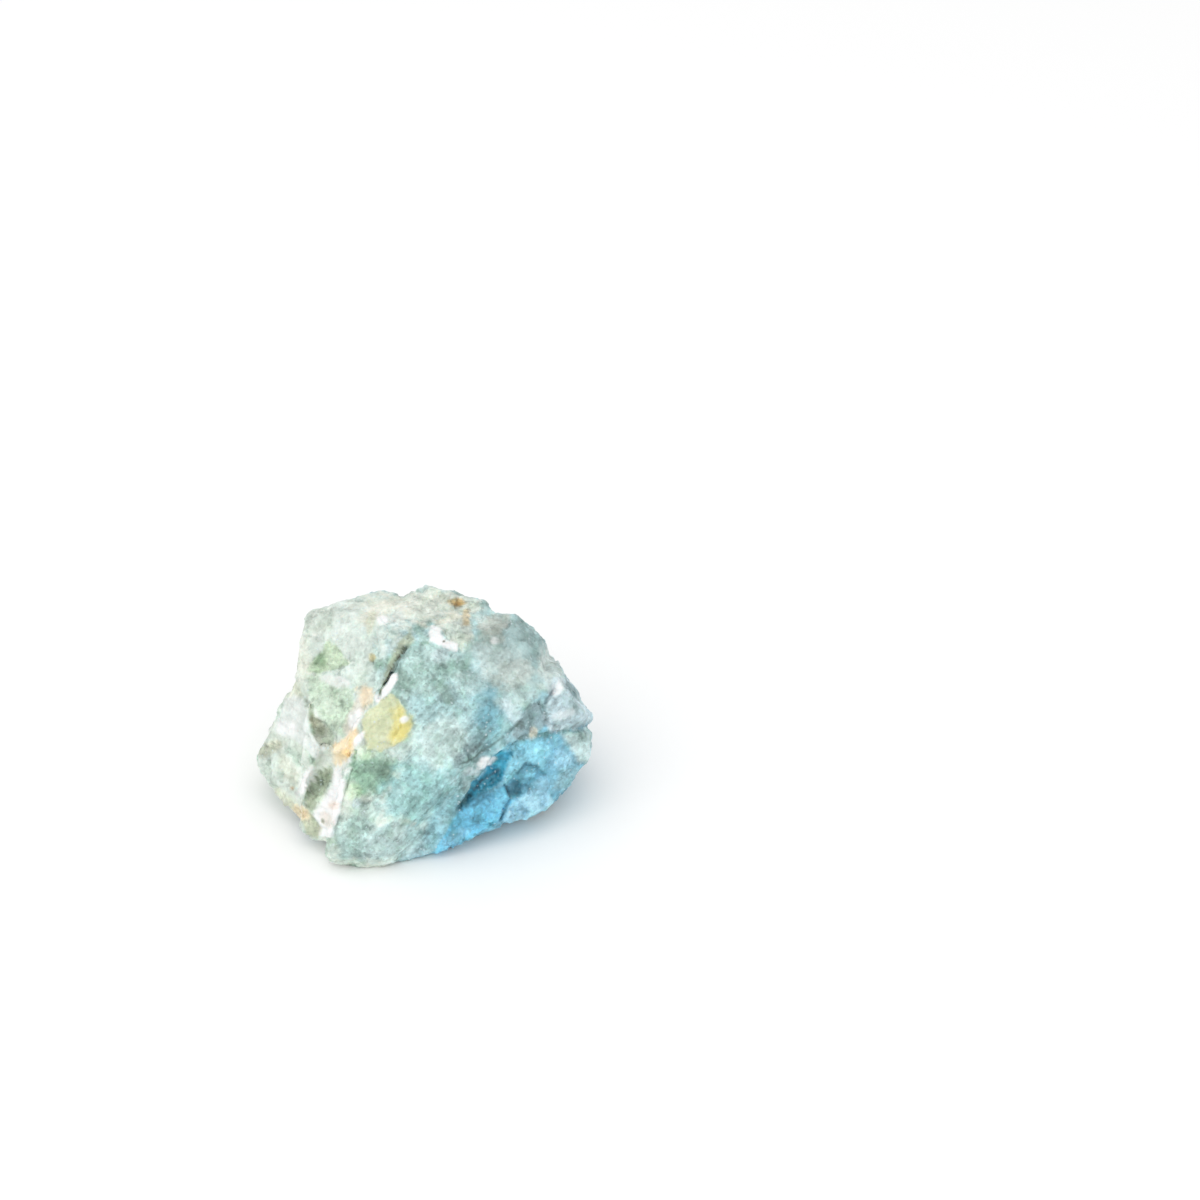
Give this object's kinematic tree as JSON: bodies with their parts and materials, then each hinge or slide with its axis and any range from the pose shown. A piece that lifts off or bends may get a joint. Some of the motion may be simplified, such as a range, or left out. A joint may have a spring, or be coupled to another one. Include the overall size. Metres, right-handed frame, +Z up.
{
  "type": "rough aquamarine stone",
  "caption": "Loose natural lump of rough beryl with broken faces, a feldspar vein, a crack and stepped ledges, resting on a small flat spot.",
  "frame": {"origin": "centre of the stone's bounding box, on the level of the flat spot that it rests on", "axes": "+Z up; +X along the stone's longest side, to the viewer's right; the main face looks towards -Y"},
  "size_m": [0.0424, 0.0318, 0.0253],
  "materials": {
    "beryl": "rough broken beryl, pale blue-green, with white feldspar and faint rust stains"
  },
  "bodies": {
    "root": {"rough_aquamarine": "beryl"}
  },
  "joints": []
}
